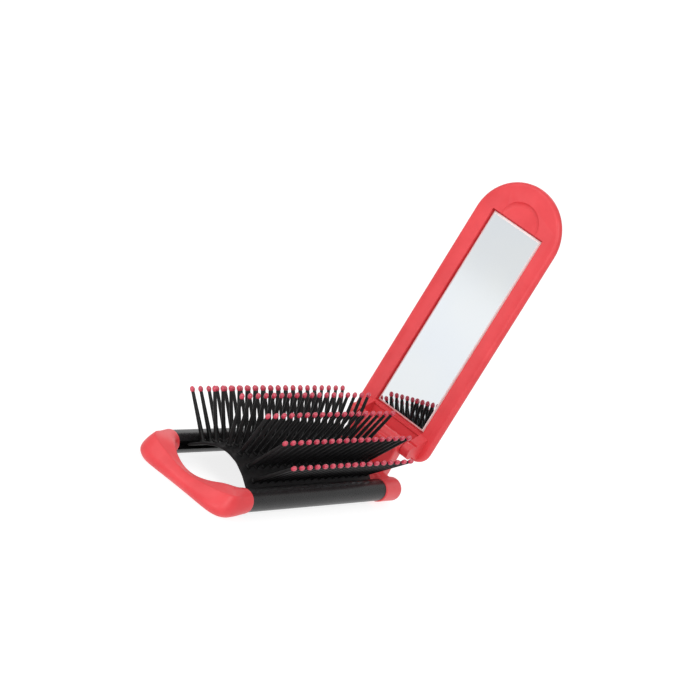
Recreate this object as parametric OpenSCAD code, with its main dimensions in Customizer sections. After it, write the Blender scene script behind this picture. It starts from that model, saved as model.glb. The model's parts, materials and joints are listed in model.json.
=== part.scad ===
// Folding hairbrush with a mirror lid. Two rails carry a rubber bristle pad that pops up
// between them. A finger loop joins the rails at one end. At the other end a yoke carries
// the hinge of the lid, which closes over the bristles.
// X runs along the rails towards the hinge, Y across them and Z up. The origin lies on the
// resting face under the yoke. The lid is drawn open and the pad popped up.

/* [Rails] */
// Length of the black rails between the two end pieces
rail_l = 92.5; // [75:0.5:120]
// Distance between the centre lines of the rails
rail_spacing = 34.8; // [33:0.2:42]
// Diameter of a rail
rail_d = 8; // [7.8:0.1:9]
// Height of the rails' centre lines above the resting face
rail_z = 5.6; // [5.4:0.1:8]
// Diameter of the spigot at each end of a rail
spigot_d = 4.8; // [3:0.1:6]
// Length of each spigot
spigot_l = 5; // [3:0.5:8]
// Height of the pad's groove above the rails' centre lines
groove_rise = 0.9; // [0.2:0.1:1.2]

/* [Pad] */
// Thickness of the rubber pad
pad_t = 1; // [0.8:0.1:1.2]
// Half width of the level strip along the crown of the pad
crown_half = 1; // [0.8:0.1:1.4]
// Width of the lip outside the outer rows that slides in a rail's groove
pad_lip = 0.9; // [0.5:0.1:1.4]
// Slope of the strips that carry the two middle rows, with the pad popped up
tilt_inner = 11; // [6:1:14]
// Slope of the strips that carry the next rows, with the pad popped up
tilt_middle = 28; // [20:1:30]
// Slope of the strips that carry the outer rows, with the pad popped up
tilt_outer = 38; // [30:1:40]
// How far past flat the closed lid presses the pad, as a share of its popped-up slope
press_past = 0.25; // [0.1:0.05:0.3]
// Gap between the pad and the yoke
pad_gap_hinge = 0.4; // [0.3:0.1:1]
// Gap between the pad and the finger loop piece
pad_gap_loop = 6.5; // [0.5:0.5:9]
// Slit left along each fold line of the pad
fold_slit = 0.4; // [0.3:0.05:0.6]

/* [Bristles] */
// Length of a bristle pin from the pad to its bead
pin_l = 18; // [12:0.5:20]
// Width across the corners of a bristle pin
pin_d = 1.2; // [0.8:0.1:1.4]
// Distance between neighbouring pins in a row
pin_pitch = 4.85; // [4:0.05:7]
// Distance from the loop end of the pad to the first pin of each row
pin_margin_loop = 4.5; // [3.5:0.1:8]
// Distance from the hinge end of the pad to the last pin of each row
pin_margin_hinge = 2.5; // [2.4:0.1:8]
// Outward lean of the middle rows on their strip
lean_inner = 0; // [0:1:4]
// Outward lean of the next rows on their strip
lean_middle = 2; // [0:1:6]
// Outward lean of the outer rows on their strip
lean_outer = 4; // [2:1:8]
// Lean of the end pins of a row along the rails, away from the middle
splay = 8; // [0:1:12]
// Width of a bead on the end of a pin
bead_d = 1.7; // [1.3:0.1:2]
// Height of a bead
bead_h = 1.3; // [0.9:0.1:1.8]

/* [Finger loop] */
// Length of the loop piece from the rails to its straight outer edge
loop_l = 14.9; // [12:0.1:24]
// Thickness of the loop's bar at the middle, seen from above
loop_bar = 5.9; // [4.5:0.1:8]
// Thickness of the rim that the end pieces put round a rail
socket_wall = 0.4; // [0.2:0.1:1]
// Depth of the hollow that thins the middle of the bar from above
loop_sag = 4.1; // [1:0.1:5]
// Height of the arch under the middle of the bar
loop_arch = 0.8; // [0:0.1:1.5]

/* [Hinge] */
// Length of the yoke's caps over the ends of the rails
yoke_l = 14; // [12:0.5:18]
// Thickness of the yoke's cross bar along the rails
bar_t = 9.8; // [8:0.2:11]
// Height of the yoke's cross bar
yoke_h = 9.2; // [7:0.2:10]
// Thickness of the yoke's upright hinge block
block_t = 6; // [5.6:0.2:8]
// How far the hinge block stands out past the caps
block_proud = 3.2; // [2:0.1:4]
// Diameter of the hinge pin
hinge_pin_d = 2.4; // [1.6:0.1:3]
// Outer diameter of the hinge barrels
barrel_d = 5.6; // [5:0.1:6.4]
// Distance from the hinge axis to the lid's inner face
hinge_offset = 6.6; // [6:0.1:9]
// Thickness of each ear on the lid
ear_t = 3.6; // [2.5:0.1:5]
// Angle of the open lid from the closed lid
open_angle = 94; // [80:1:100]

/* [Lid] */
// Width of the lid
lid_w = 36.9; // [32:0.5:42]
// How far the closed lid reaches past the loop end of the pad
lid_reach = 4.1; // [2:0.1:8]
// How far the lid's square end lies behind the hinge axis
lid_heel = 3.9; // [2.5:0.1:4.5]
// Radius of the lid's corners at the hinge end
lid_corner = 7; // [4:0.5:8]
// Thickness of the lid's rim
rim_t = 2; // [1.6:0.1:3]
// Height of the domed back above the rim
dome_h = 3.4; // [2.8:0.1:6]
// Wall of the domed back
dome_wall = 1; // [0.8:0.1:1.4]

/* [Mirror] */
// Width of the mirror
mirror_w = 22.7; // [18:0.1:26]
// Width of the rim between the mirror and the lid's square end
mirror_margin_hinge = 11.1; // [9:0.1:16]
// Width of the rim between the mirror and the lid's round end
mirror_margin_tip = 16.1; // [15:0.1:24]
// Thickness of the mirror glass
mirror_t = 1.2; // [0.8:0.1:1.6]
// How deep the mirror's face lies below the rim
mirror_inset = 0.8; // [0.4:0.1:1.2]
// Thickness of the sheet of adhesive behind the mirror
tape_t = 0.2; // [0.1:0.05:0.4]
// Radius of the half round thumb recess at the mirror's far edge
thumb_r = 8.9; // [5:0.1:10]

/* [Clearances] */
// Gap round a spigot in its socket, and round the mirror
fit_gap = 0.05; // [0.02:0.01:0.1]
// Radial running gap between the hinge pin and the lid's ears
running_gap = 0.05; // [0.02:0.01:0.1]
// Gap between parts that move past each other
travel_gap = 0.3; // [0.2:0.05:0.5]
// Gap between the closed lid and the highest bristles
lid_gap = 0.4; // [0.3:0.1:2]

/* [Hidden] */
red = [0.93, 0.27, 0.29];
black = [0.08, 0.08, 0.09];
round_fn = 48;

// Rails
rail_r = rail_d / 2;
rail_y = rail_spacing / 2;
nose_x = 2;
rail_x1 = nose_x - yoke_l;
rail_x0 = rail_x1 - rail_l;
bar_x0 = nose_x - bar_t;
block_x1 = nose_x + block_proud;
socket_r = rail_r + socket_wall;

// The pad's groove in each rail, and the pad's width when it is flat
groove_floor = 1;
groove_z = rail_z + groove_rise;
edge_dip = 0.15;
pad_half = rail_y - groove_floor - travel_gap;
row_pitch = (pad_half - pad_lip) / 3;
pad_x0 = rail_x0 + pad_gap_loop;
pad_x1 = bar_x0 - pad_gap_hinge;
outer_x1 = rail_x1 - pad_gap_hinge;

// Strips of the pad from the crown to the edge, one for each row of a side
tilts = [tilt_inner, tilt_middle, tilt_outer];
leans = [lean_inner, lean_middle, lean_outer];
strip_w = [row_pitch - crown_half, row_pitch, row_pitch + pad_lip];
row_in = [row_pitch / 2 - crown_half, row_pitch / 2, row_pitch / 2];

// Slope of strip i when the lid is closed by share s of its travel
function tilt_at(i, s) = tilts[i] * (1 - (1 + press_past) * s);
// Distance across from the middle of the brush to fold line i
function fold_y(i, s) =
    i == 0 ? crown_half : fold_y(i - 1, s) + strip_w[i - 1] * cos(tilt_at(i - 1, s));
// Drop from the crown to fold line i
function fold_drop(i, s) =
    i == 0 ? 0 : fold_drop(i - 1, s) + strip_w[i - 1] * sin(tilt_at(i - 1, s));

// Mid height of the crown, popped up and pressed down. The pad's edge stays at the groove.
crown_z = groove_z + fold_drop(3, 0);
crown_z_closed = groove_z + fold_drop(3, 1);

// Groove in a rail: the pad's lip slides in it and turns about its edge
groove_mouth = rail_y - rail_r;
groove_top = groove_z + (fold_y(3, 0) - groove_mouth) * tan(tilt_at(2, 0))
    + pad_t / 2 / cos(tilt_at(2, 0)) + travel_gap;
groove_bottom = groove_z + (fold_y(3, 1) - groove_mouth) * tan(tilt_at(2, 1))
    - pad_t / 2 / cos(tilt_at(2, 1)) - travel_gap - edge_dip;

// Bristle pins. The outer rows stop one pin short at the hinge end.
row_x0 = pad_x0 + pin_margin_loop;
row_x1 = pad_x1 - pin_margin_hinge;
pin_count = floor((row_x1 - row_x0) / pin_pitch + 0.5) + 1;
pin_step = (row_x1 - row_x0) / (pin_count - 1);
row_counts = [pin_count, pin_count, pin_count - 1];
function pin_splay(j) = splay * (2 * j / (pin_count - 1) - 1);

// Highest bead when the lid is closed, over the three rows of a side
function closed_tip(i) =
    crown_z_closed - fold_drop(i, 1) - row_in[i] * sin(tilt_at(i, 1))
    + (pad_t / 2 + pin_l + bead_h) * cos(tilt_at(i, 1) + leans[i]);
closed_top = max(closed_tip(0), closed_tip(1), closed_tip(2));

// Hinge axis, and the lid in its own frame: U along the lid, W towards the bristles
hinge_z = closed_top + lid_gap - hinge_offset;
hinge_setback = 0.7;
hinge_x = block_x1 - hinge_setback;
lid_u0 = -lid_heel;
lid_u1 = hinge_x - pad_x0 + lid_reach;
face_w = -hinge_offset;
barrel_r = barrel_d / 2;
ear_inset = 3.4;
ear_y1 = lid_w / 2 - ear_inset;
ear_heel = lid_heel - 1.1;
ear_toe = 6.5;
ear_y0 = ear_y1 - ear_t;
block_half = ear_y0 - travel_gap;
mirror_u0 = lid_u0 + mirror_margin_hinge;
mirror_u1 = lid_u1 - mirror_margin_tip;
mirror_l = mirror_u1 - mirror_u0;
pocket_depth = mirror_inset + mirror_t + tape_t;
pocket_floor = 0.8;
stop_half = 6;
stop_h = 2;
lid_angle = 180 - open_angle;
cap_round = 2.4;
// The dome's profile: how far its outline is drawn in, and the share of its height there
dome_steps = [[0, 0.35], [1.2, 0.7], [4, 0.92], [8, 1]];

// Points along an arc from angle a0 to a1
function arc(x, y, r, a0, a1, n) =
    [for (k = [0 : n]) let(a = a0 + (a1 - a0) * k / n) [x + r * cos(a), y + r * sin(a)]];

// Outline of the lid, drawn in by an inset
function lid_outline(inset) = let(c = max(lid_corner, inset + 0.5)) concat(
    arc(lid_u1 - lid_w / 2, 0, lid_w / 2 - inset, -90, 90, 24),
    arc(lid_u0 + c, lid_w / 2 - c, c - inset, 90, 180, 5),
    arc(lid_u0 + c, c - lid_w / 2, c - inset, 180, 270, 5)
);

// Outline of the finger loop from above: straight outer edge, round opening
loop_x0 = rail_x0 - loop_l;
loop_in = rail_y - socket_r;
loop_out = rail_y + socket_r;
loop_power = 2.6;
function loop_curve(y) = rail_x0
    - (loop_l - loop_bar) * pow(1 - pow(abs(y) / loop_in, loop_power), 1 / loop_power);
// The loop's corner: share of the loop's length, and distance drawn in from its side
loop_corner = [[0, 0], [0.37, 0], [0.67, 1], [0.89, 2.8], [1, 5.3]];
corner_last = len(loop_corner) - 1;
loop_plan = concat(
    [for (k = [-12 : 12]) let(y = loop_in * sin(7.5 * k)) [loop_curve(y), y]],
    [for (k = [0 : corner_last])
        [rail_x0 - loop_l * loop_corner[k][0], loop_out - loop_corner[k][1]]],
    [for (k = [corner_last : -1 : 0])
        [rail_x0 - loop_l * loop_corner[k][0], loop_corner[k][1] - loop_out]]
);

// Side view of the finger loop, with its sloping outer face
loop_top = rail_z + socket_r;
loop_side = [
    [rail_x0, 0], [rail_x0, loop_top], [loop_x0 + 9, loop_top - 0.2], [loop_x0 + 4.6, loop_top - 1.2],
    [loop_x0 + 1, 5.4], [loop_x0, 3], [loop_x0 + 2.4, 0]
];

// End view of the finger loop: round outer sides, a hollow top and an arched underside
foot_y0 = rail_y - socket_r;
foot_y1 = rail_y + 1.9;
side_turn = 50;
loop_steps = 12;
loop_end = concat(
    arc(rail_y, rail_z, socket_r, 90, -side_turn, 14),
    [[foot_y1, 0]],
    [for (k = [loop_steps : -1 : -loop_steps])
        let(t = k / loop_steps) [foot_y0 * t, loop_arch * (1 - t * t)]],
    [[-foot_y1, 0]],
    arc(-rail_y, rail_z, socket_r, side_turn - 180, -270, 14),
    [for (k = [1 - loop_steps : loop_steps - 1])
        let(t = k / loop_steps) [rail_y * t, loop_top - loop_sag * (1 - t * t)]]
);

module along_x(x0, x1, r) {
    translate([x0, 0, 0]) rotate([0, 90, 0]) cylinder(h = x1 - x0, r = r, $fn = round_fn);
}

module along_y(half, r) {
    rotate([90, 0, 0]) cylinder(h = 2 * half, r = r, center = true, $fn = round_fn);
}

module at_rails() {
    for (side = [-1, 1]) translate([0, side * rail_y, rail_z]) children();
}

module at_lid() {
    translate([hinge_x, 0, hinge_z]) rotate([0, -lid_angle, 0]) children();
}

module lid_slab(inset, w0, w1) {
    translate([0, 0, w0]) linear_extrude(w1 - w0) polygon(lid_outline(inset));
}

module end_loop() {
    color(red) difference() {
        intersection() {
            linear_extrude(loop_top + 1) polygon(loop_plan);
            rotate([90, 0, 0]) linear_extrude(2 * loop_out + 2, center = true) polygon(loop_side);
            translate([rail_x0, 0, 0]) rotate([90, 0, -90])
                translate([0, 0, -1]) linear_extrude(loop_l + 2) polygon(loop_end);
        }
        at_rails() along_x(rail_x0 - spigot_l - travel_gap, rail_x0 + 1, spigot_d / 2 + fit_gap);
    }
}

module rail(side) {
    color(black) translate([0, side * rail_y, rail_z]) mirror([0, side > 0 ? 0 : 1, 0]) union() {
        difference() {
            along_x(rail_x0, rail_x1, rail_r);
            translate([rail_x0 - 1, -rail_r - 1, groove_bottom - rail_z])
                cube([rail_l + 2, rail_r + 1 - groove_floor, groove_top - groove_bottom]);
        }
        along_x(rail_x0 - spigot_l, rail_x0, spigot_d / 2);
        along_x(rail_x1, rail_x1 + spigot_l, spigot_d / 2);
    }
}

module rail_cap() {
    translate([rail_x1, 0, 0]) rotate([0, 90, 0]) rotate_extrude($fn = round_fn)
        polygon(concat([[0, 0], [socket_r, 0]],
            arc(socket_r - cap_round, yoke_l - cap_round, cap_round, 0, 90, 6), [[0, yoke_l]]));
}

module hinge_yoke() {
    bar_half = rail_y - cap_round;
    color(red) difference() {
        union() {
            at_rails() rail_cap();
            translate([bar_x0, -bar_half, 0]) cube([bar_t - cap_round, 2 * bar_half, yoke_h]);
            translate([block_x1 - block_t, -block_half, 0])
                cube([block_t, 2 * block_half, hinge_z]);
            translate([hinge_x, 0, hinge_z]) along_y(block_half, barrel_r);
            stop_ledge();
        }
        at_rails() along_x(rail_x1 - 1, rail_x1 + spigot_l + travel_gap, spigot_d / 2 + fit_gap);
        translate([hinge_x, 0, hinge_z]) along_y(block_half + 1, hinge_pin_d / 2 + fit_gap);
    }
}

// Ledge that the heel of the open lid leans against
module stop_ledge() {
    reach = hinge_x - lid_heel * cos(lid_angle) + hinge_offset * sin(lid_angle) - fit_gap;
    heel_z = hinge_z - lid_heel * sin(lid_angle) - hinge_offset * cos(lid_angle);
    translate([hinge_x, -stop_half, heel_z]) cube([reach - hinge_x, 2 * stop_half, stop_h]);
}

module hinge_pin() {
    color("silver") translate([hinge_x, 0, hinge_z]) along_y(ear_y1, hinge_pin_d / 2);
}

module lid_ear(side) {
    translate([0, side * (ear_y0 + ear_y1) / 2, 0]) {
        along_y(ear_t / 2, barrel_r);
        rotate([90, 0, 0]) linear_extrude(ear_t, center = true) polygon([
            [-ear_heel, face_w - rim_t / 2], [ear_toe, face_w - rim_t / 2],
            [barrel_r * 0.85, -barrel_r * 0.5], [-barrel_r * 0.85, -barrel_r * 0.5]
        ]);
    }
}

module lid_frame() {
    pocket_w = mirror_w + 2 * fit_gap;
    pocket_l = mirror_l + 2 * fit_gap;
    color(red) at_lid() difference() {
        union() {
            lid_slab(0, face_w - rim_t, face_w);
            translate([mirror_u0 - 1, -pocket_w / 2 - 1, face_w - pocket_depth - pocket_floor])
                cube([mirror_l + 2, pocket_w + 2, pocket_depth + pocket_floor - rim_t / 2]);
            for (side = [-1, 1]) lid_ear(side);
        }
        translate([mirror_u0 - fit_gap, -pocket_w / 2, face_w - pocket_depth])
            cube([pocket_l, pocket_w, pocket_depth + 1]);
        translate([mirror_u1, 0, face_w - mirror_inset])
            cylinder(h = mirror_inset + 1, r = thumb_r, $fn = round_fn);
        along_y(ear_y1 + 1, hinge_pin_d / 2 + running_gap);
    }
}

// Dome on the back of the lid, as a hull of its outline drawn in step by step. It starts a
// lift above the rim's back, so that the hollow cuts through the dome's open side.
module dome(inset, height, lift) {
    base = face_w - rim_t;
    hull() for (step = dome_steps)
        lid_slab(inset + step[0], base - height * step[1], base + lift);
}

module lid_back() {
    color(red) at_lid() difference() {
        dome(0, dome_h, 0);
        dome(dome_wall, dome_h - dome_wall, 1);
    }
}

module mirror_glass() {
    color("lightsteelblue") at_lid()
        translate([mirror_u0, -mirror_w / 2, face_w - mirror_inset - mirror_t])
        cube([mirror_l, mirror_w, mirror_t]);
}

module mirror_tape() {
    color("whitesmoke") at_lid()
        translate([mirror_u0, -mirror_w / 2, face_w - pocket_depth])
        cube([mirror_l, mirror_w, tape_t]);
}

module pad_crown() {
    half = crown_half - fold_slit / 2;
    color(black) translate([pad_x0, -half, crown_z - pad_t / 2])
        cube([pad_x1 - pad_x0, 2 * half, pad_t]);
}

// Places children on strip i of one side, at its inner fold line and mid thickness
module on_strip(side, i) {
    mirror([0, side > 0 ? 0 : 1, 0])
        translate([0, fold_y(i, 0), crown_z - fold_drop(i, 0)])
        rotate([-tilts[i], 0, 0]) children();
}

// Places children at each pin of a row, along the pin's own axis
module at_pins(i, height) {
    for (j = [0 : row_counts[i] - 1])
        translate([row_x0 + j * pin_step, row_in[i], 0])
        rotate([-leans[i], 0, 0]) rotate([0, pin_splay(j), 0])
        translate([0, 0, height]) children();
}

// One strip of the pad with its row of bristle pins. Strip 0 is next to the crown.
module pad_row(side, i) {
    outer_slit = i == 2 ? 0 : fold_slit / 2;
    strip_x1 = i == 2 ? outer_x1 : pad_x1;
    color(black) on_strip(side, i) union() {
        translate([pad_x0, fold_slit / 2, -pad_t / 2])
            cube([strip_x1 - pad_x0, strip_w[i] - outer_slit - fold_slit / 2, pad_t]);
        at_pins(i, 0) cylinder(h = pad_t / 2 + pin_l, d = pin_d, $fn = 4);
    }
}

// The beads that tip one row of pins
module beads_row(side, i) {
    color(red) on_strip(side, i) at_pins(i, pad_t / 2 + pin_l)
        rotate_extrude($fn = 6) polygon([
            [0, 0], [bead_d * 0.32, 0], [bead_d / 2, bead_h * 0.45],
            [bead_d * 0.28, bead_h], [0, bead_h]
        ]);
}

end_loop();
rail(-1);  // rail_front
rail(1);  // rail_back
hinge_yoke();
hinge_pin();
lid_frame();
lid_back();
mirror_glass();  // mirror
mirror_tape();
pad_crown();
pad_row(1, 2);  // pad_row_1
pad_row(1, 1);  // pad_row_2
pad_row(1, 0);  // pad_row_3
pad_row(-1, 0);  // pad_row_4
pad_row(-1, 1);  // pad_row_5
pad_row(-1, 2);  // pad_row_6
beads_row(1, 2);  // beads_row_1
beads_row(1, 1);  // beads_row_2
beads_row(1, 0);  // beads_row_3
beads_row(-1, 0);  // beads_row_4
beads_row(-1, 1);  // beads_row_5
beads_row(-1, 2);  // beads_row_6
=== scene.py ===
import json
import math

import bmesh
import bpy
from mathutils import Matrix, Quaternion, Vector


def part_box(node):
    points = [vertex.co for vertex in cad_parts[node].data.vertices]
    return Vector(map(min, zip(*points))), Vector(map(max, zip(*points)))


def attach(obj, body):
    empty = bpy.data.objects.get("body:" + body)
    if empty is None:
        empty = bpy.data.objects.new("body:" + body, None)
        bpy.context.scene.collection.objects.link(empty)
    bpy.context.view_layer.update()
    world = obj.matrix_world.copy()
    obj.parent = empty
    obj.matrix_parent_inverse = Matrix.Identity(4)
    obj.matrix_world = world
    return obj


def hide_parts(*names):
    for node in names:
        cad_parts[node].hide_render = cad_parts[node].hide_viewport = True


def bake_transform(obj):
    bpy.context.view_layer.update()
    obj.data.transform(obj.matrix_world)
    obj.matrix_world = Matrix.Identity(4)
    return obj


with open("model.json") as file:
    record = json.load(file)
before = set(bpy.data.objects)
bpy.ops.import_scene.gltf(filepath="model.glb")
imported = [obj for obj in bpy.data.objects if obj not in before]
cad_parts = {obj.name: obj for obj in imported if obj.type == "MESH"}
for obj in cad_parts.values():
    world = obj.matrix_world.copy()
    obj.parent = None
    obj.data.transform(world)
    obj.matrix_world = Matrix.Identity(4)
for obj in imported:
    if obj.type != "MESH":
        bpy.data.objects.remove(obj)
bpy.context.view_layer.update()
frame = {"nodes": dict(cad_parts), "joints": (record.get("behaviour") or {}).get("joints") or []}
bpy.ops.object.select_all(action="DESELECT")

# Rails
# Two extruded rails of black plastic carry the brush. A groove runs along the inner side of each,
# where the pad's edge slides, and a spigot at each end is pressed into a red end piece.
mm = 0.001
rail_spigot = 5 * mm
rail_spigot_radius = 2.4 * mm
rail_spigot_seat = 0.25 * mm
rail_spigot_round = 0.3 * mm
rail_groove_low = -0.49 * mm
rail_groove_high = 2.43 * mm
rail_groove_floor = 1 * mm
rail_lip_round = 0.3 * mm
rail_sides, spigot_sides = 72, 32
cutter_reach = 1 * mm
grain_height = 0.05 * mm
rail_black = (0.0042, 0.004, 0.0044, 1)
rail_grey = (0.007, 0.0066, 0.0069, 1)
rail_scuff = (0.05, 0.05, 0.053, 1)


def only(piece):
    """Selects one piece and makes it active."""
    bpy.ops.object.select_all(action="DESELECT")
    piece.select_set(True)
    bpy.context.view_layer.objects.active = piece


def placed():
    """The piece just added, with its place moved into its mesh."""
    bpy.ops.object.transform_apply(location=True, rotation=True, scale=True)
    return bpy.context.object


def apply_modifier(piece, kind, **settings):
    """Adds one modifier to a piece and applies it."""
    only(piece)
    modifier = piece.modifiers.new(kind.title(), kind)
    for setting, value in settings.items():
        setattr(modifier, setting, value)
    bpy.ops.object.modifier_apply(modifier=modifier.name)


def combine(piece, other, operation):
    """Cuts another solid out of a piece, or fuses it on, and deletes the other."""
    apply_modifier(piece, "BOOLEAN", operation=operation, object=other, solver="EXACT")
    bpy.data.objects.remove(other)


def round_edges(piece, width, segments=3, angle=35):
    """Rounds off every edge of a piece that is sharper than the angle."""
    apply_modifier(piece, "BEVEL", width=width, segments=segments, limit_method="ANGLE",
                   angle_limit=math.radians(angle), harden_normals=False)


def smooth(piece, angle=40):
    """Shades a piece smoothly but for its sharp edges, with its flat faces kept flat."""
    only(piece)
    bpy.ops.object.shade_smooth_by_angle(angle=math.radians(angle))
    apply_modifier(piece, "WEIGHTED_NORMAL", keep_sharp=True)


def block(low, high):
    """A box between two corners, as a start for a moulded block."""
    low, high = Vector(low), Vector(high)
    bpy.ops.mesh.primitive_cube_add(size=1, location=(low + high) / 2, scale=high - low)
    return placed()


def rod(start, end, radius, sides=64):
    """A round bar between two points, as a start for a turned or moulded part."""
    start, end = Vector(start), Vector(end)
    turn = (end - start).to_track_quat("Z", "Y").to_euler()
    bpy.ops.mesh.primitive_cylinder_add(vertices=sides, radius=radius, depth=(end - start).length,
                                        location=(start + end) / 2, rotation=turn)
    return placed()


def finish_piece(piece, name, body, material, nodes):
    """Names and dresses a finished piece, and hangs it on its body in place of its nodes."""
    piece.name = piece.data.name = name
    piece.data.materials.clear()
    piece.data.materials.append(material)
    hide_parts(*nodes)
    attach(piece, body)


def new_node(tree, kind, **settings):
    """Adds a shader node. Each setting is the value of a socket of that name, or else a property."""
    node = tree.nodes.new(kind)
    for setting, value in settings.items():
        if setting in node.inputs:
            node.inputs[setting].default_value = value
        else:
            setattr(node, setting, value)
    return node


def moulding_group():
    """Flow marks, fine grain and rubbed edges, which every moulded material shares."""
    group = bpy.data.node_groups.new("moulding_finish", "ShaderNodeTree")
    for name, kind, value in (
        ("Colour", "NodeSocketColor", (0.8, 0.8, 0.8, 1)),
        ("Shade", "NodeSocketColor", (0.5, 0.5, 0.5, 1)),
        ("Rubbed", "NodeSocketColor", (0.9, 0.9, 0.9, 1)),
        ("Rubbing", "NodeSocketFloat", 0.5),
        ("Flow Scale", "NodeSocketFloat", 60),
        ("Grain Scale", "NodeSocketFloat", 3000),
        ("Roughness Low", "NodeSocketFloat", 0.3),
        ("Roughness High", "NodeSocketFloat", 0.4),
    ):
        socket = group.interface.new_socket(name, in_out="INPUT", socket_type=kind)
        socket.default_value = value
    for name, kind in (("Colour", "NodeSocketColor"), ("Roughness", "NodeSocketFloat"),
                       ("Height", "NodeSocketFloat")):
        group.interface.new_socket(name, in_out="OUTPUT", socket_type=kind)
    given = new_node(group, "NodeGroupInput")
    place = new_node(group, "ShaderNodeTexCoord")
    flow = new_node(group, "ShaderNodeTexNoise", Detail=3, Roughness=0.6)
    grain = new_node(group, "ShaderNodeTexNoise", Detail=2, Roughness=0.5)
    patches = new_node(group, "ShaderNodeMapRange", **{"From Min": 0.35, "From Max": 0.68})
    tint = new_node(group, "ShaderNodeMix", data_type="RGBA")
    geometry = new_node(group, "ShaderNodeNewGeometry")
    edges = new_node(group, "ShaderNodeMapRange", **{"From Min": 0.51, "From Max": 0.6})
    broken = new_node(group, "ShaderNodeMath", operation="MULTIPLY")
    amount = new_node(group, "ShaderNodeMath", operation="MULTIPLY")
    rubbed = new_node(group, "ShaderNodeMix", data_type="RGBA")
    gloss = new_node(group, "ShaderNodeMapRange", **{"From Min": 0.3, "From Max": 0.7})
    out = new_node(group, "NodeGroupOutput")
    wire = group.links.new
    for noise, scale in ((flow, "Flow Scale"), (grain, "Grain Scale")):
        wire(place.outputs["Object"], noise.inputs["Vector"])
        wire(given.outputs[scale], noise.inputs["Scale"])
    wire(flow.outputs["Fac"], patches.inputs["Value"])
    wire(patches.outputs["Result"], tint.inputs["Factor"])
    wire(given.outputs["Colour"], tint.inputs["A"])
    wire(given.outputs["Shade"], tint.inputs["B"])
    wire(geometry.outputs["Pointiness"], edges.inputs["Value"])
    wire(edges.outputs["Result"], broken.inputs[0])
    wire(flow.outputs["Fac"], broken.inputs[1])
    wire(broken.outputs["Value"], amount.inputs[0])
    wire(given.outputs["Rubbing"], amount.inputs[1])
    wire(amount.outputs["Value"], rubbed.inputs["Factor"])
    wire(tint.outputs["Result"], rubbed.inputs["A"])
    wire(given.outputs["Rubbed"], rubbed.inputs["B"])
    wire(grain.outputs["Fac"], gloss.inputs["Value"])
    wire(given.outputs["Roughness Low"], gloss.inputs["To Min"])
    wire(given.outputs["Roughness High"], gloss.inputs["To Max"])
    wire(rubbed.outputs["Result"], out.inputs["Colour"])
    wire(gloss.outputs["Result"], out.inputs["Roughness"])
    wire(grain.outputs["Fac"], out.inputs["Height"])
    return group


moulding = moulding_group()


def moulded(name, finish, shader, bump):
    """A moulded material: the shared finish with its own values feeds one shader."""
    material = bpy.data.materials.new(name)
    material.use_nodes = True
    tree = material.node_tree
    principled = tree.nodes["Principled BSDF"]
    for socket, value in shader.items():
        principled.inputs[socket].default_value = value
    skin = new_node(tree, "ShaderNodeGroup", node_tree=moulding)
    for socket, value in finish.items():
        skin.inputs[socket].default_value = value
    relief = new_node(tree, "ShaderNodeBump", Strength=bump, Distance=grain_height)
    tree.links.new(skin.outputs["Colour"], principled.inputs["Base Color"])
    tree.links.new(skin.outputs["Roughness"], principled.inputs["Roughness"])
    tree.links.new(skin.outputs["Height"], relief.inputs["Height"])
    tree.links.new(relief.outputs["Normal"], principled.inputs["Normal"])
    return material


extruded_black = moulded(
    "extruded_black",
    {"Colour": rail_black, "Shade": rail_grey, "Rubbed": rail_scuff, "Rubbing": 0.7,
     "Flow Scale": 160, "Grain Scale": 2600, "Roughness Low": 0.26, "Roughness High": 0.33},
    {"Specular IOR Level": 0.14}, 0.04)

for rail_name in ("rail_front", "rail_back"):
    low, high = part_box(rail_name)
    rail_radius = (high.z - low.z) / 2
    rail_z = (high.z + low.z) / 2
    side = 1 if high.y > 0 else -1
    rail_y = side * (max(abs(low.y), abs(high.y)) - rail_radius)
    rail_start, rail_end = low.x + rail_spigot, high.x - rail_spigot
    rail = rod((rail_start, rail_y, rail_z), (rail_end, rail_y, rail_z), rail_radius, rail_sides)
    groove_mouth = rail_y - side * 2 * rail_radius
    groove_back = rail_y - side * rail_groove_floor
    groove = block((rail_start - cutter_reach, min(groove_mouth, groove_back), rail_z + rail_groove_low),
                   (rail_end + cutter_reach, max(groove_mouth, groove_back), rail_z + rail_groove_high))
    combine(rail, groove, "DIFFERENCE")
    round_edges(rail, rail_lip_round)
    for face, tip in ((rail_start, low.x), (rail_end, high.x)):
        seat = face + math.copysign(rail_spigot_seat, face - tip)
        spigot = rod((seat, rail_y, rail_z), (tip, rail_y, rail_z), rail_spigot_radius,
                     spigot_sides)
        round_edges(spigot, rail_spigot_round)
        combine(rail, spigot, "UNION")
    smooth(rail)
    finish_piece(rail, rail_name + "_extrusion", "frame", extruded_black,
                 [rail_name])

# Finger loop
# The loop is one solid moulding in satin red plastic. It joins the rails' ends, is thinned in the
# middle for a finger, and its sloping outer face meets the hollow top in a soft ridge.
loop_low, loop_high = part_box("end_loop")
rails_end = loop_high.x
collar_radius = 4.4 * mm
bore_radius = 2.45 * mm
bore_depth = 5.3 * mm
cage_swell = 1.035
ridge_crease = 0.95
foot_crease = 0.5
collar_crease = 0.8
crease_start = 5 * mm
ridge_corner = 5
foot_corners = (9, 0)
loop_corners = 12
first_corner = 225
finger_lift = 0.8
collar_inner = 13
touching = 0.01 * mm
plastic_red = (0.70, 0.049, 0.058, 1)
plastic_red_deep = (0.63, 0.035, 0.043, 1)
plastic_red_rubbed = (0.72, 0.15, 0.16, 1)
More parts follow.
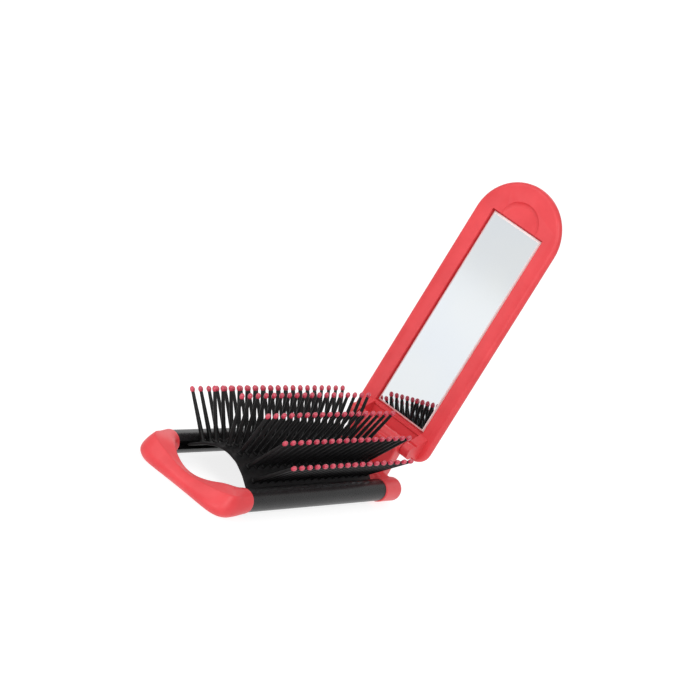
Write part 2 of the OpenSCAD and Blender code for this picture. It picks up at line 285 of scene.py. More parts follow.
# Half of the loop from collar to middle, in mm outwards from the rails' ends: inner point, outer
# point, height of the top, ridge as a share of the width and its height, and how round it is
loop_stations = [
    ((0.0, 13.0), (0.0, 21.8), 10.0, 0.80, 8.6, 1.00),
    ((2.0, 13.0), (2.0, 21.8), 10.0, 0.82, 8.8, 0.85),
    ((4.0, 12.5), (6.2, 21.8), 9.9, 0.84, 8.8, 0.35),
    ((5.7, 11.4), (10.9, 20.9), 9.5, 0.83, 8.7, 0.05),
    ((6.9, 9.9), (14.0, 18.3), 8.9, 0.68, 8.0, 0.00),
    ((7.7, 8.3), (14.9, 13.6), 8.0, 0.60, 7.3, 0.00),
    ((8.4, 5.8), (14.9, 8.6), 7.0, 0.55, 6.4, 0.00),
    ((8.85, 3.0), (14.9, 4.2), 6.2, 0.52, 5.8, 0.00),
    ((9.0, 0.0), (14.9, 0.0), 5.9, 0.51, 5.6, 0.00),
]
moulded_red = moulded(
    "moulded_red",
    {"Colour": plastic_red, "Shade": plastic_red_deep, "Rubbed": plastic_red_rubbed,
     "Rubbing": 0.12, "Flow Scale": 90, "Grain Scale": 2200, "Roughness Low": 0.36,
     "Roughness High": 0.46},
    {"Specular IOR Level": 0.42}, 0.08)


def edit(piece, kind="FACE"):
    """Opens a piece in edit mode with nothing selected."""
    only(piece)
    bpy.ops.object.mode_set(mode="EDIT")
    bpy.ops.mesh.select_mode(type=kind)
    bpy.ops.mesh.select_all(action="DESELECT")
    return bmesh.from_edit_mesh(piece.data)


def pick(piece, kind, wanted):
    """Selects the faces, edges or verts of the open piece that are wanted, and nothing else."""
    bpy.ops.mesh.select_all(action="DESELECT")
    mesh = bmesh.from_edit_mesh(piece.data)
    for item in getattr(mesh, kind):
        if wanted(item):
            item.select_set(True)
    bmesh.update_edit_mesh(piece.data)


def face_outwards():
    """Turns every face of the open piece outwards."""
    bpy.ops.mesh.select_all(action="SELECT")
    bpy.ops.mesh.normals_make_consistent(inside=False)


def close_edit():
    """Goes back to object mode, which writes the mesh into the piece."""
    bpy.ops.object.mode_set(mode="OBJECT")


def corner_turn(corner):
    """The angle at which a corner of the loop's section lies where the section is round."""
    return math.radians(first_corner - corner * 360 / loop_corners)


def loop_ring(station, side):
    """The corners of the loop's section, from the foot of its inner wall over the top and back."""
    inner, outer, top, ridge_share, ridge_z, roundness = station
    inner, outer = Vector(inner), Vector(outer)
    width = (outer - inner).length
    across = (outer - inner) / width
    foot = finger_lift * (1 - min(1, inner.y / collar_inner) ** 2)
    ridge = ridge_share * width
    # In mm, across the loop from its inner wall and up: inner wall, hollow top, ridge, outer face, foot
    wedge = [
        (0.3, foot), (0, foot + 0.9), (0, top - 1.0),
        (0.5, top - 0.1), ((0.5 + ridge) / 2, top - 0.35),
        (ridge, ridge_z),
        ((ridge + width) / 2 + 0.1, (ridge_z + 3) / 2 + 0.1), (width, 2.8), (width - 0.8, 1.1),
        (width - 2.4, 0), (0.45 * width, 0), (0.9, foot / 2),
    ]
    radius = collar_radius / mm * cage_swell
    ring = []
    for corner, (reach, height) in enumerate(wedge):
        turn = corner_turn(corner)
        round_reach = width / 2 + radius * math.cos(turn)
        round_height = rail_z / mm + radius * math.sin(turn)
        reach += (round_reach - reach) * roundness
        height += (round_height - height) * roundness
        spot = inner + across * reach
        ring.append(Vector((rails_end - spot.x * mm, side * spot.y * mm, height * mm)))
    return ring


def bore_ring(side, depth):
    """The corners of the bore that takes a rail's spigot, at a depth from the collar's face."""
    middle = Vector((rails_end, side * (max(abs(loop_low.y), loop_high.y) - collar_radius), rail_z))
    turns = [corner_turn(corner) for corner in range(loop_corners)]
    return [middle + Vector((-depth, side * bore_radius * math.cos(turn), bore_radius * math.sin(turn)))
            for turn in turns]


def lay_ring(piece, points):
    """Moves the selected ring of corners to its points, by the number that each corner keeps."""
    mesh = bmesh.from_edit_mesh(piece.data)
    number = mesh.verts.layers.int["number"]
    for corner in mesh.verts:
        if corner.select:
            corner.co = points[corner[number]]
    bmesh.update_edit_mesh(piece.data)


def extrude_rings(rings, closed=True):
    """A skin extruded from ring to ring, as a long moulding is built up section by section."""
    bpy.ops.mesh.primitive_circle_add(vertices=len(rings[0]), radius=mm)
    piece = bpy.context.object
    mesh = edit(piece, "VERT")
    number = mesh.verts.layers.int.new("number")
    for place, corner in enumerate(mesh.verts):
        corner[number] = place
    bmesh.update_edit_mesh(piece.data)
    bpy.ops.mesh.select_all(action="SELECT")
    lay_ring(piece, rings[0])
    for ring in rings[1:]:
        bpy.ops.mesh.extrude_region_move()
        lay_ring(piece, ring)
    if closed:
        pick(piece, "edges", lambda edge: edge.is_boundary)
        bpy.ops.mesh.edge_face_add()
    face_outwards()
    return piece


def crease(piece, wanted, value):
    """Keeps the wanted edges of the open piece sharper when it is subdivided."""
    pick(piece, "edges", wanted)
    bpy.ops.transform.edge_crease(value=value)


half_loop = [loop_ring(station, 1) for station in loop_stations]
other_half = [loop_ring(station, -1) for station in loop_stations[-2::-1]]
near_bore = [bore_ring(1, bore_depth), bore_ring(1, 0)]
far_bore = [bore_ring(-1, 0), bore_ring(-1, bore_depth)]
loop = extrude_rings(near_bore + half_loop + other_half + far_bore)
numbers = bmesh.from_edit_mesh(loop.data).verts.layers.int["number"]


def runs_along(corner_number):
    """A test for the edges that run along the loop at one corner of its section."""
    return lambda edge: all(end[numbers] == corner_number and end.co.x < rails_end - crease_start
                            for end in edge.verts)


crease(loop, runs_along(ridge_corner), ridge_crease)
for foot_corner in foot_corners:
    crease(loop, runs_along(foot_corner), foot_crease)
crease(loop, lambda edge: all(abs(end.co.x - rails_end) < touching for end in edge.verts)
       and edge.verts[0][numbers] != edge.verts[1][numbers], collar_crease)
close_edit()
apply_modifier(loop, "SUBSURF", levels=3, render_levels=3)
smooth(loop, 60)
finish_piece(loop, "finger_loop_moulding", "frame", moulded_red, ["end_loop"])

# Hinge yoke
# The yoke caps the other ends of the rails and carries the lid's hinge on an upright block. It is
# one moulding in the same red plastic, with a coned nose on each cap and soft inner corners.
yoke_low, yoke_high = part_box("hinge_yoke")
lid_joint = next(joint for joint in frame["joints"] if joint["name"] == "lid_hinge")
hinge = Vector(lid_joint["pos_m"])
yoke_nose = 2 * mm
nose_cone = 3 * mm
bar_front = -7.8 * mm
bar_top = 9.2 * mm
bar_round = 1.2 * mm
block_face = (-0.8 * mm, 5.2 * mm)
block_half = 11.15 * mm
block_round = 0.6 * mm
barrel_radius = 2.8 * mm
ledge_half = 6 * mm
ledge_z = (12.1 * mm, 14.1 * mm)
yoke_grain = 0.28 * mm


def bevel_edges(piece, wanted, width, segments):
    """Bevels the wanted edges of a piece, with one segment as a flat cut and with more as a round."""
    edit(piece, "EDGE")
    pick(piece, "edges", wanted)
    bpy.ops.mesh.bevel(offset=width, segments=segments, affect="EDGES")
    close_edit()


yoke = rod((yoke_low.x, -abs(rail_y), rail_z), (yoke_nose, -abs(rail_y), rail_z), collar_radius)
bevel_edges(yoke, lambda edge: all(end.co.x > yoke_nose - touching for end in edge.verts),
            nose_cone, 1)
only(yoke)
bpy.ops.object.duplicate()
bpy.ops.transform.translate(value=(0, 2 * abs(rail_y), 0))
far_cap = placed()
combine(yoke, far_cap, "UNION")
yoke_bar = block((bar_front, -abs(rail_y), 0.0), (yoke_nose - nose_cone, abs(rail_y), bar_top))
bevel_edges(yoke_bar, lambda edge: all(end.co.z > bar_top - touching for end in edge.verts),
            bar_round, 4)
combine(yoke, yoke_bar, "UNION")
yoke_block = block((block_face[0], -block_half, 0), (block_face[1], block_half, hinge.z))
round_edges(yoke_block, block_round)
combine(yoke, yoke_block, "UNION")
barrel = rod(hinge - Vector((0, block_half, 0)), hinge + Vector((0, block_half, 0)), barrel_radius)
combine(yoke, barrel, "UNION")
ledge = block((hinge.x, -ledge_half, ledge_z[0]), (yoke_high.x, ledge_half, ledge_z[1]))
combine(yoke, ledge, "UNION")
apply_modifier(yoke, "REMESH", mode="VOXEL", voxel_size=yoke_grain)
apply_modifier(yoke, "SMOOTH", factor=0.5, iterations=5)
smooth(yoke, 70)
finish_piece(yoke, "hinge_yoke_moulding", "frame", moulded_red, ["hinge_yoke"])

# Hinge pin
# A ground steel pin runs through the yoke's barrel and the lid's two ears. It is pressed in from
# the back, where its chamfered end stands a little proud, and stops short inside the front ear.
pin_low, pin_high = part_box("hinge_pin")
pin_radius = (pin_high.z - pin_low.z) / 2
pin_chamfer = 0.25 * mm
pin_front_cover = 0.8 * mm
pin_back_proud = 0.2 * mm
hinge_pin_sides = 40
steel_grey = (0.58, 0.58, 0.6, 1)
steel_dark = (0.42, 0.42, 0.45, 1)
ground_steel = moulded(
    "ground_steel",
    {"Colour": steel_grey, "Shade": steel_dark, "Rubbed": steel_grey, "Rubbing": 0.2,
     "Flow Scale": 400, "Grain Scale": 5000, "Roughness Low": 0.2, "Roughness High": 0.34},
    {"Metallic": 1.0}, 0.1)
hinge_rod = rod((hinge.x, pin_low.y + pin_front_cover, hinge.z),
                (hinge.x, pin_high.y + pin_back_proud, hinge.z), pin_radius, hinge_pin_sides)
round_edges(hinge_rod, pin_chamfer, 2)
smooth(hinge_rod)
finish_piece(hinge_rod, "hinge_pin_ground", "frame", ground_steel, ["hinge_pin"])

# Lid frame
# The lid's inner half is a red moulding with a rounded rim, nearly square at the heel and round at
# the tip. It has a pocket for the mirror, a tilted dish for the thumb and two hinge ears.
lid_lean = -math.radians(180 + min(lid_joint["range_deg"]))
lid_place = Matrix.Translation(hinge) @ Matrix.Rotation(lid_lean, 4, "Y")
rim_round = 1.6 * mm
rim_thickness = 2 * mm
mirror_sunk = 0.8 * mm
heel_corner = 5.5 * mm
heel_segments, tip_segments = 8, 24
tip_share = 0.9995
outline_merge = 0.02 * mm
pocket_gap = 0.5 * mm
pocket_gap_tip = 0.75 * mm
pocket_wall = 0.7 * mm
pocket_floor = 0.8 * mm
pocket_edge = 0.16 * mm
thumb_radius = 8.9 * mm
thumb_depth = 0.35 * mm
thumb_tilt = math.radians(9)
thumb_edge = 2 * mm
thumb_cutter = 3.5 * mm
thumb_sides = 72
ear_start, ear_end = 11.45 * mm, 15.05 * mm
ear_heel, ear_toe = 2.8 * mm, 6.5 * mm
ear_root = 0.3 * mm
ear_neck = -1.3 * mm
ear_neck_share = 0.51
ear_round = 0.3 * mm
relief_depth = 0.7 * mm
relief_slope = 1.3 * mm
relief_from_heel = 2.6 * mm
relief_from_mirror = 1 * mm


def box_on_lid(node):
    """A node's corners in the lid's own frame: X towards the tip, Z towards the bristles."""
    spots = [lid_place.inverted() @ v.co for v in frame["nodes"][node].data.vertices]
    return (Vector([min(spot[axis] for spot in spots) for axis in range(3)]),
            Vector([max(spot[axis] for spot in spots) for axis in range(3)]))


def lid_outline(start, end, half_width, corner, height):
    """The lid's flat outline, left open in edit mode: a plate with its four corners rounded off."""
    bpy.ops.mesh.primitive_plane_add(size=1, location=((start + end) / 2, 0, height))
    outline = bpy.context.object
    outline.scale = (end - start, 2 * half_width, 1)
    bpy.ops.object.transform_apply(location=True, rotation=True, scale=True)
    edit(outline, "VERT")
    for at_tip, radius, segments in ((True, half_width * tip_share, tip_segments),
                                     (False, corner, heel_segments)):
        pick(outline, "verts", lambda spot: (spot.co.x > (start + end) / 2) == at_tip)
        bpy.ops.mesh.bevel(offset=radius, segments=segments, affect="VERTICES")
    bpy.ops.mesh.select_all(action="SELECT")
    bpy.ops.mesh.remove_doubles(threshold=outline_merge)
    return outline


def on_lid(piece):
    """Swings a piece modelled flat up to the open lid, and moves its place into its mesh."""
    piece.data.transform(lid_place)
    return piece


def smooth_round_flats(piece, angle=35):
    """Shades a piece smoothly, but shades the flat faces of its own box truly flat."""
    only(piece)
    bpy.ops.object.shade_smooth_by_angle(angle=math.radians(angle))
    edit(piece)
    pick(piece, "faces", lambda face: max(abs(part) for part in face.normal) > 0.9998)
    bpy.ops.mesh.faces_shade_flat()
    close_edit()


lid_low, lid_high = box_on_lid("lid_frame")
mirror_low, mirror_high = box_on_lid("mirror")
tape_low, tape_high = box_on_lid("mirror_tape")
lid_half = lid_high.y
rim_face = mirror_high.z + mirror_sunk
rim_back = rim_face - rim_thickness
lid_start, lid_tip = lid_low.x, lid_high.x
rim = lid_outline(lid_start, lid_tip, lid_half, heel_corner, rim_back)
bpy.ops.mesh.extrude_region_move(TRANSFORM_OT_translate={"value": (0, 0, rim_thickness)})
face_outwards()
pick(rim, "edges", lambda edge: all(end.co.z > rim_back + rim_thickness / 2 for end in edge.verts))
bpy.ops.mesh.bevel(offset=rim_round, segments=6, affect="EDGES")
close_edit()
wall_out = pocket_gap + pocket_wall
pocket_back = block((mirror_low.x - wall_out, mirror_low.y - wall_out, tape_low.z - pocket_floor),
                    (mirror_high.x + pocket_gap_tip + pocket_wall, mirror_high.y + wall_out,
                     rim_back + rim_thickness / 2))
combine(rim, pocket_back, "UNION")
for side in (-1, 1):
    start, end = Vector((0, side * ear_start, 0)), Vector((0, side * ear_end, 0))
    ear = rod(start, end, barrel_radius)
    foot = block((-ear_heel, min(start.y, end.y), rim_face - ear_root),
                 (ear_toe, max(start.y, end.y), ear_neck))
    edit(foot, "VERT")
    pick(foot, "verts", lambda spot: spot.co.z > ear_neck - touching)
    bpy.ops.transform.resize(value=(ear_neck_share, 1, 1), center_override=(0, 0, 0))
    close_edit()
    combine(foot, ear, "UNION")
    round_edges(foot, ear_round)
    combine(rim, foot, "UNION")
relief = block((lid_start + relief_from_heel, -ear_start, rim_face - relief_depth),
               (mirror_low.x - relief_from_mirror, ear_start, rim_face + cutter_reach))
edit(relief, "VERT")
pick(relief, "verts", lambda spot: spot.co.z < rim_face and spot.co.x > 0)
bpy.ops.transform.translate(value=(-relief_slope, 0, 0))
close_edit()
combine(rim, relief, "DIFFERENCE")
dish_middle = Vector((mirror_high.x, 0, rim_face - thumb_depth))
dish_axis = Vector((math.sin(thumb_tilt), 0, math.cos(thumb_tilt)))
thumb = rod(dish_middle, dish_middle + thumb_cutter * dish_axis, thumb_radius, thumb_sides)
bevel_edges(thumb, lambda edge: all((end.co - dish_middle).dot(dish_axis) < touching
                                    for end in edge.verts), thumb_edge, 8)
combine(rim, thumb, "DIFFERENCE")
pocket = block((mirror_low.x - pocket_gap, mirror_low.y - pocket_gap, tape_low.z),
               (mirror_high.x + pocket_gap_tip, mirror_high.y + pocket_gap, rim_face + cutter_reach))
combine(rim, pocket, "DIFFERENCE")
round_edges(rim, pocket_edge, 2, 50)
smooth_round_flats(rim)
finish_piece(on_lid(rim), "lid_frame_moulding", "lid", moulded_red, ["lid_frame"])

# Lid back
# A thin domed shell in red plastic closes the lid behind the mirror. It is welded on round the
# rim, and its edge is drawn in a little, so that a fine line shows between the halves.
back_thickness = 1 * mm
back_seam = 0.02 * mm
# How far each step of the dome is drawn in, in mm, and its share of the rise
dome_steps = [(0.25, 0.15), (0.25, 0.75), (0.5, 0.8), (0.8, 0.7), (1.2, 0.5), (1.6, 0.3), (0.5, 0.05)]
back_low = box_on_lid("lid_back")[0]
shell = lid_outline(lid_start, lid_tip, lid_half, heel_corner, rim_back - back_seam)
dome_height = rim_back - back_low.z - back_seam
dome_rise = sum(rise for _, rise in dome_steps)
for draw_in, rise in dome_steps:
    bpy.ops.mesh.inset(thickness=draw_in * mm, depth=0)
    bpy.ops.transform.translate(value=(0, 0, -rise / dome_rise * dome_height))
face_outwards()
close_edit()
apply_modifier(shell, "SOLIDIFY", thickness=back_thickness, offset=-1)
smooth(shell)
finish_piece(on_lid(shell), "lid_back_shell", "lid", moulded_red, ["lid_back"])

# Mirror
# A rectangle of silvered glass lies in the lid's pocket. Its bevelled border is ground matt and
# shows as a pale line, and its silver is very slightly cool.
mirror_bevel = 0.75 * mm
mirror_cool = (0.67, 0.705, 0.745, 1)
mirror_clear = (0.70, 0.725, 0.735, 1)
ground_white = (0.90, 0.86, 0.85, 1)
polished_roughness = 0.015
ground_roughness = 0.5
silvered_from, silvered_full = 0.9, 0.97
glass = block(mirror_low, mirror_high)
bevel_edges(glass, lambda edge: all(end.co.z > mirror_high.z - touching for end in edge.verts),
            mirror_bevel, 1)
silvered = bpy.data.materials.new("silvered_glass")
silvered.use_nodes = True
tree = silvered.node_tree
silver = tree.nodes["Principled BSDF"]
place = new_node(tree, "ShaderNodeTexCoord")
haze = new_node(tree, "ShaderNodeTexNoise", Scale=28, Detail=2, Roughness=0.4)
haze_range = new_node(tree, "ShaderNodeMapRange", **{"From Min": 0.35, "From Max": 0.65})
tone = new_node(tree, "ShaderNodeMix", data_type="RGBA")
tone.inputs["A"].default_value = mirror_cool
tone.inputs["B"].default_value = mirror_clear
tree.links.new(place.outputs["Object"], haze.inputs["Vector"])
tree.links.new(haze.outputs["Fac"], haze_range.inputs["Value"])
tree.links.new(haze_range.outputs["Result"], tone.inputs["Factor"])
face_way = new_node(tree, "ShaderNodeVectorMath", operation="DOT_PRODUCT")
face_way.inputs[1].default_value = lid_place.to_3x3() @ Vector((0, 0, 1))
silvering = new_node(tree, "ShaderNodeMapRange",
                     **{"From Min": silvered_from, "From Max": silvered_full})
polish = new_node(tree, "ShaderNodeMapRange",
                  **{"To Min": ground_roughness, "To Max": polished_roughness})
cover = new_node(tree, "ShaderNodeMix", data_type="RGBA")
cover.inputs["A"].default_value = ground_white
tree.links.new(place.outputs["Normal"], face_way.inputs[0])
tree.links.new(face_way.outputs["Value"], silvering.inputs["Value"])
tree.links.new(silvering.outputs["Result"], silver.inputs["Metallic"])
tree.links.new(silvering.outputs["Result"], polish.inputs["Value"])
tree.links.new(polish.outputs["Result"], silver.inputs["Roughness"])
tree.links.new(silvering.outputs["Result"], cover.inputs["Factor"])
tree.links.new(tone.outputs["Result"], cover.inputs["B"])
tree.links.new(cover.outputs["Result"], silver.inputs["Base Color"])
finish_piece(on_lid(glass), "mirror_glass", "lid", silvered, ["mirror"])

# Mirror tape
# A sheet of double sided foam tape holds the mirror in its pocket. Only its cut edge could show,
# and its open cells make it slightly mottled.
tape_white = (0.82, 0.82, 0.79, 1)
tape_grey = (0.66, 0.66, 0.63, 1)
tape_round = 0.05 * mm
foam_tape = moulded(
    "foam_tape",
    {"Colour": tape_white, "Shade": tape_grey, "Rubbed": tape_white, "Rubbing": 0.0,
     "Flow Scale": 900, "Grain Scale": 4000, "Roughness Low": 0.7, "Roughness High": 0.9}, {}, 0.5)
tape = block(tape_low, tape_high)
round_edges(tape, tape_round, 1)
finish_piece(on_lid(tape), "mirror_foam_tape", "lid", foam_tape, ["mirror_tape"])

# Bristle pad
# The pad is one sheet of black rubber that bends along six fold lines. It is built here in three
# runs a side, each from row to row across one fold, so that every run bends where the pad does.
pad_thickness = 1 * mm
fold_radius = 1.1 * mm
bend_points = 5
row_inset = [1.533 * mm, 2.533 * mm, 2.533 * mm]
outer_strip = 5.967 * mm
outer_slope = math.radians(38)
pad_end_round = 0.35 * mm
pad_end_thickness = 0.45
pad_end_fullness = (0, 0.6, 1)
pad_steps = 12
outer_end = -12.4 * mm
end_step = 1.2 * mm
rubber_black = (0.0035, 0.0034, 0.0036, 1)
rubber_grey = (0.006, 0.0058, 0.006, 1)
rubber_rubbed = (0.03, 0.029, 0.03, 1)
crown_low, crown_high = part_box("pad_crown")
pad_middle = (crown_low.x + crown_high.x) / 2
pad_rubber = moulded(
    "pad_rubber",
    {"Colour": rubber_black, "Shade": rubber_grey, "Rubbed": rubber_rubbed, "Rubbing": 0.6,
     "Flow Scale": 240, "Grain Scale": 3200, "Roughness Low": 0.42, "Roughness High": 0.6},
    {"Specular IOR Level": 0.1}, 0.2)
fold_joints = {joint["name"]: Vector(joint["pos_m"]) for joint in frame["joints"]
               if joint["name"].startswith("fold")}
folds = [fold_joints[name] for name in ("fold_3", "fold_2", "fold_1")]
slopes = [math.atan2(a.z - b.z, b.y - a.y) for a, b in zip(folds, folds[1:])] + [outer_slope]


def down_strip(strip, distance):
    """A point on a strip of the pad, that far down from its inner fold line."""
    return folds[strip] + distance * Vector((0, math.cos(slopes[strip]), -math.sin(slopes[strip])))


def rounded_fold(start, fold, end):
    """The pad's middle line from start to end, bent round its fold line."""
    before = fold + (start - fold).normalized() * min(fold_radius, (start - fold).length * 0.9)
    after = fold + (end - fold).normalized() * min(fold_radius, (end - fold).length * 0.9)
    shares = [point / (bend_points - 1) for point in range(bend_points)]
    bend = [before.lerp(fold, t).lerp(fold.lerp(after, t), t) for t in shares]
    return [start] + bend + [end]


def hinge_end(distance):
    """Where the pad ends towards the hinge: its outer strips stop short of the rails' caps."""
    share = min(1, max(0, 1 + (distance - folds[2].y) / end_step))
    return crown_high.x + (outer_end - crown_high.x) * share


def line_normals(line):
    """The way up from the sheet at each point of its middle line."""
    normals = []
    for behind, ahead in zip([line[0]] + line[:-1], line[1:] + [line[-1]]):
        along = (ahead - behind).normalized()
        normals.append(Vector((0, -along.z, along.y)))
    return normals


def pad_ring(line, side, step, fullness):
    """The pad's section at one step along it, over the top and back below. Its ends are less full."""
    half = pad_thickness / 2 * (pad_end_thickness + (1 - pad_end_thickness) * fullness)
    draw_in = pad_end_round * fullness * ((step == 0) - (step == pad_steps))
    sheet = list(zip(line, line_normals(line)))
    ring = []
    for lift, points in ((1, sheet), (-1, reversed(sheet))):
        for middle, normal in points:
            x = crown_low.x + (hinge_end(abs(middle.y)) - crown_low.x) * step / pad_steps + draw_in
            spot = middle + normal * lift * half
            ring.append(Vector((x, side * spot.y, spot.z)))
    return ring


def pad_run(line, side):
    """A closed run of the pad: its section swept from the loop end to the hinge end."""
    sweep = [(0, fullness) for fullness in pad_end_fullness]
    sweep += [(step, 1) for step in range(1, pad_steps)]
    sweep += [(pad_steps, fullness) for fullness in reversed(pad_end_fullness)]
    run = extrude_rings([pad_ring(line, side, step, fullness) for step, fullness in sweep], closed=False)
    number = bmesh.from_edit_mesh(run.data).verts.layers.int["number"]
    for at_hinge in (False, True):
        pick(run, "edges", lambda edge: edge.is_boundary
             and len({end[number] < len(line) for end in edge.verts}) == 1
             and (edge.verts[0].co.x > pad_middle) == at_hinge)
        bpy.ops.mesh.bridge_edge_loops()
    face_outwards()
    close_edit()
    smooth(run, 50)
    return run


rows = [down_strip(strip, row_inset[strip]) for strip in range(3)]
crown_middle = Vector((0, 0, folds[0].z))
pad_lines = [
    rounded_fold(crown_middle, folds[0], rows[0]),
    rounded_fold(rows[0], folds[1], rows[1]),
    rounded_fold(rows[1], folds[2], rows[2]) + [down_strip(2, outer_strip)],
]
for side, bodies in ((1, (3, 2, 1)), (-1, (4, 5, 6))):
    for run_number, (line, strip) in enumerate(zip(pad_lines, bodies)):
        body = "pad_strip_%d" % strip
        run = pad_run(line, side)
        run.name = run.data.name = "pad_run_%d" % strip
        run.data.materials.append(pad_rubber)
        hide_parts("pad_row_%d" % strip, *(["pad_crown"] if run_number == 0 else []))
        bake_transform(run)

# Bristle pins and beads
# Six rows of nylon pins stand on the pad, each in a small rubber boss and tipped with a red bead.
# One pin and one bead are turned here, then copied along every row, fanning out at its ends.
pin_counts = {1: 17, 2: 18, 3: 18, 4: 18, 5: 18, 6: 17}
row_strips = {1: 2, 2: 1, 3: 0, 4: 0, 5: 1, 6: 2}
pin_start_x = -93.5 * mm
pin_pitch = 4.8706 * mm
pin_length = 18 * mm
pin_leans = [0, 2, 4]
pin_splay = 8
pin_sides = 10
# Heights and radii in mm, of a pin with its boss and of a bead
pin_profile = [(-0.4, 1.15), (0.55, 1.1), (0.8, 0.98), (0.95, 0.82), (6, 0.76), (12, 0.67), (18.2, 0.57)]
bead_profile = [(-0.65, 0.58), (-0.4, 0.74), (0.05, 0.84), (0.5, 0.84), (0.95, 0.66), (1.3, 0.25)]
nylon_black = (0.0035, 0.0034, 0.0035, 1)
nylon_grey = (0.007, 0.0067, 0.007, 1)
bead_red = (0.52, 0.016, 0.052, 1)
bead_deep = (0.42, 0.01, 0.035, 1)
bead_pale = (0.85, 0.2, 0.28, 1)
pin_nylon = moulded(
    "pin_nylon",
    {"Colour": nylon_black, "Shade": nylon_grey, "Rubbed": rubber_rubbed, "Rubbing": 0.4,
     "Flow Scale": 500, "Grain Scale": 4200, "Roughness Low": 0.28, "Roughness High": 0.4},
    {"Specular IOR Level": 0.14}, 0.1)
dipped_bead = moulded(
    "dipped_bead",
    {"Colour": bead_red, "Shade": bead_deep, "Rubbed": bead_pale, "Rubbing": 0.3,
     "Flow Scale": 700, "Grain Scale": 5000, "Roughness Low": 0.16, "Roughness High": 0.28},
    {"Specular IOR Level": 0.5, "Coat Weight": 0.3, "Coat Roughness": 0.12}, 0.05)


def turned(profile, sides):
    """A small round part, extruded up from its foot through the radii of its profile."""
    bpy.ops.mesh.primitive_circle_add(vertices=sides, radius=profile[0][1] * mm, fill_type="NGON",
                                      location=(0, 0, profile[0][0] * mm))
    part = placed()
    edit(part)
    bpy.ops.mesh.select_all(action="SELECT")
    for (z, radius), (next_z, next_radius) in zip(profile, profile[1:]):
        rise = (next_z - z) * mm
        bpy.ops.mesh.extrude_region_move(TRANSFORM_OT_translate={"value": (0, 0, rise)})
        share = next_radius / radius
        bpy.ops.transform.resize(value=(share, share, 1), center_override=(0, 0, next_z * mm))
    face_outwards()
    close_edit()
    smooth(part, 50)
    return part


def pin_place(row, number):
    """Where a pin stands, and its lean across the row and along it."""
    strip = row_strips[row]
    side = 1 if row <= 3 else -1
    foot = Vector((pin_start_x + number * pin_pitch, side * row_inset[strip], pad_thickness / 2))
    fold = folds[strip]
    splay = pin_splay * (2 * number / (max(pin_counts.values()) - 1) - 1)
    return (Matrix.Translation((0, side * fold.y, fold.z))
            @ Matrix.Rotation(-side * slopes[strip], 4, "X")
            @ Matrix.Translation(foot)
            @ Matrix.Rotation(-side * math.radians(pin_leans[strip]), 4, "X")
            @ Matrix.Rotation(math.radians(splay), 4, "Y"))


def row_of(part, row, height):
    """Copies of a turned part along one row, each with its own mesh, joined into one piece."""
    copies = []
    for number in range(pin_counts[row]):
        copy = part.copy()
        copy.data = part.data.copy()
        bpy.context.collection.objects.link(copy)
        copy.data.transform(pin_place(row, number) @ Matrix.Translation((0, 0, height)))
        copies.append(copy)
    only(copies[0])
    for copy in copies:
        copy.select_set(True)
    bpy.ops.object.join()
    return bpy.context.object


one_pin = turned(pin_profile, pin_sides)
one_bead = turned(bead_profile, pin_sides)
for row in pin_counts:
    body = "pad_strip_%d" % row
    finish_piece(row_of(one_pin, row, 0), "bristle_pins_%d" % row, body, pin_nylon,
                 ["pad_row_%d" % row])
    finish_piece(row_of(one_bead, row, pin_length), "bristle_beads_%d" % row, body,
                 dipped_bead, ["beads_row_%d" % row])
for part in (one_pin, one_bead):
    bpy.data.objects.remove(part)

# Studio
# A pale floor that glows a little, soft light from large lamps all round, and a camera at the
# photograph's view: low, from beyond the finger loop, and rolled.
floor_white = (0.32, 0.32, 0.32, 1)
floor_glow = 0.82
air_for_shade = 0.54
camera_spot = Vector((-0.773693, -0.34155, 0.264808))
camera_aim = Vector((-0.109833, -0.026621, 0.07062))
camera_lens = 122.555
camera_roll = math.radians(29.7445)
lamp_aim = Vector((-0.05, 0, 0.04))
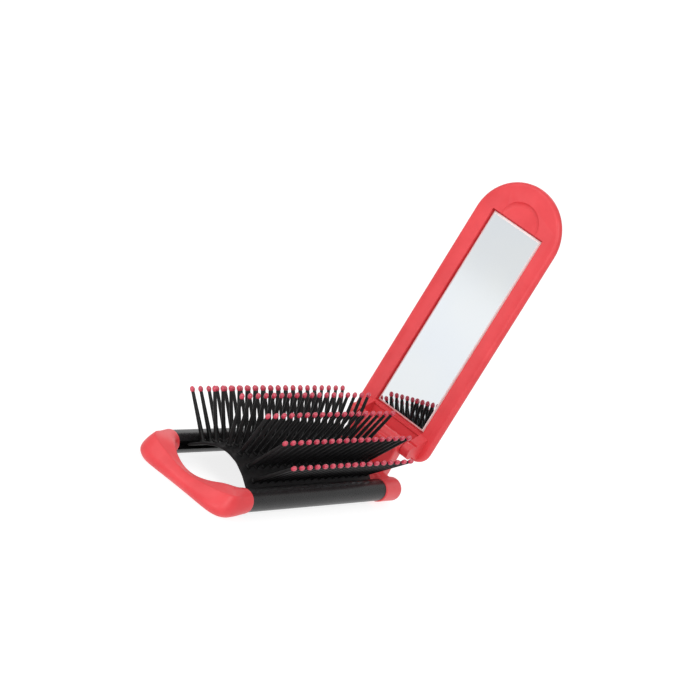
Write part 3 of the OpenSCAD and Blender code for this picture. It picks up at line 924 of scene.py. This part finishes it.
# Name, place, width in metres and power in watts
lamps = (
    ("key", (-0.75, -0.75, 0.75), 0.5, 4.0),
    ("fill", (-0.70, 0.45, 0.72), 0.7, 2.5),
    ("low", (-1.0, -0.1, 0.24), 0.6, 2.0),
    ("top", (0.05, 0.0, 1.1), 0.8, 0.8),
    ("rear", (0.7, 0.35, 0.6), 0.6, 1.2),
)
bpy.ops.mesh.primitive_plane_add(size=60, location=(0, 0, 0))
floor = bpy.context.object
floor.name = "studio_floor"
floor_paint = bpy.data.materials.new("studio_floor_paint")
floor_paint.use_nodes = True
paint = floor_paint.node_tree.nodes["Principled BSDF"]
paint.inputs["Base Color"].default_value = floor_white
paint.inputs["Roughness"].default_value = 0.9
paint.inputs["Specular IOR Level"].default_value = 0.1
paint.inputs["Emission Color"].default_value = (1, 1, 1, 1)
paint.inputs["Emission Strength"].default_value = floor_glow
floor.data.materials.append(floor_paint)
world = bpy.data.worlds.new("studio_air")
bpy.context.scene.world = world
world.use_nodes = True
air = world.node_tree.nodes["Background"]
air.inputs["Color"].default_value = (1, 1, 1, 1)
rays = new_node(world.node_tree, "ShaderNodeLightPath")
air_light = new_node(world.node_tree, "ShaderNodeMapRange",
                     **{"To Min": 1.0, "To Max": air_for_shade})
world.node_tree.links.new(rays.outputs["Is Diffuse Ray"], air_light.inputs["Value"])
world.node_tree.links.new(air_light.outputs["Result"], air.inputs["Strength"])
for lamp_name, spot, size, power in lamps:
    lamp = bpy.data.lights.new(lamp_name, "AREA")
    lamp.shape = "DISK"
    lamp.size = size
    lamp.energy = power
    holder = bpy.data.objects.new(lamp_name, lamp)
    bpy.context.collection.objects.link(holder)
    holder.location = spot
    holder.rotation_euler = (lamp_aim - Vector(spot)).to_track_quat("-Z", "Y").to_euler()
camera = bpy.data.objects.new("camera", bpy.data.cameras.new("camera"))
bpy.context.collection.objects.link(camera)
camera.data.lens = camera_lens
camera.data.clip_start = 0.01
camera.location = camera_spot
level_look = (camera_aim - camera_spot).to_track_quat("-Z", "Y")
camera.rotation_euler = (level_look @ Quaternion((0, 0, 1), camera_roll)).to_euler()
bpy.context.scene.camera = camera
bpy.context.scene.view_settings.view_transform = "Standard"
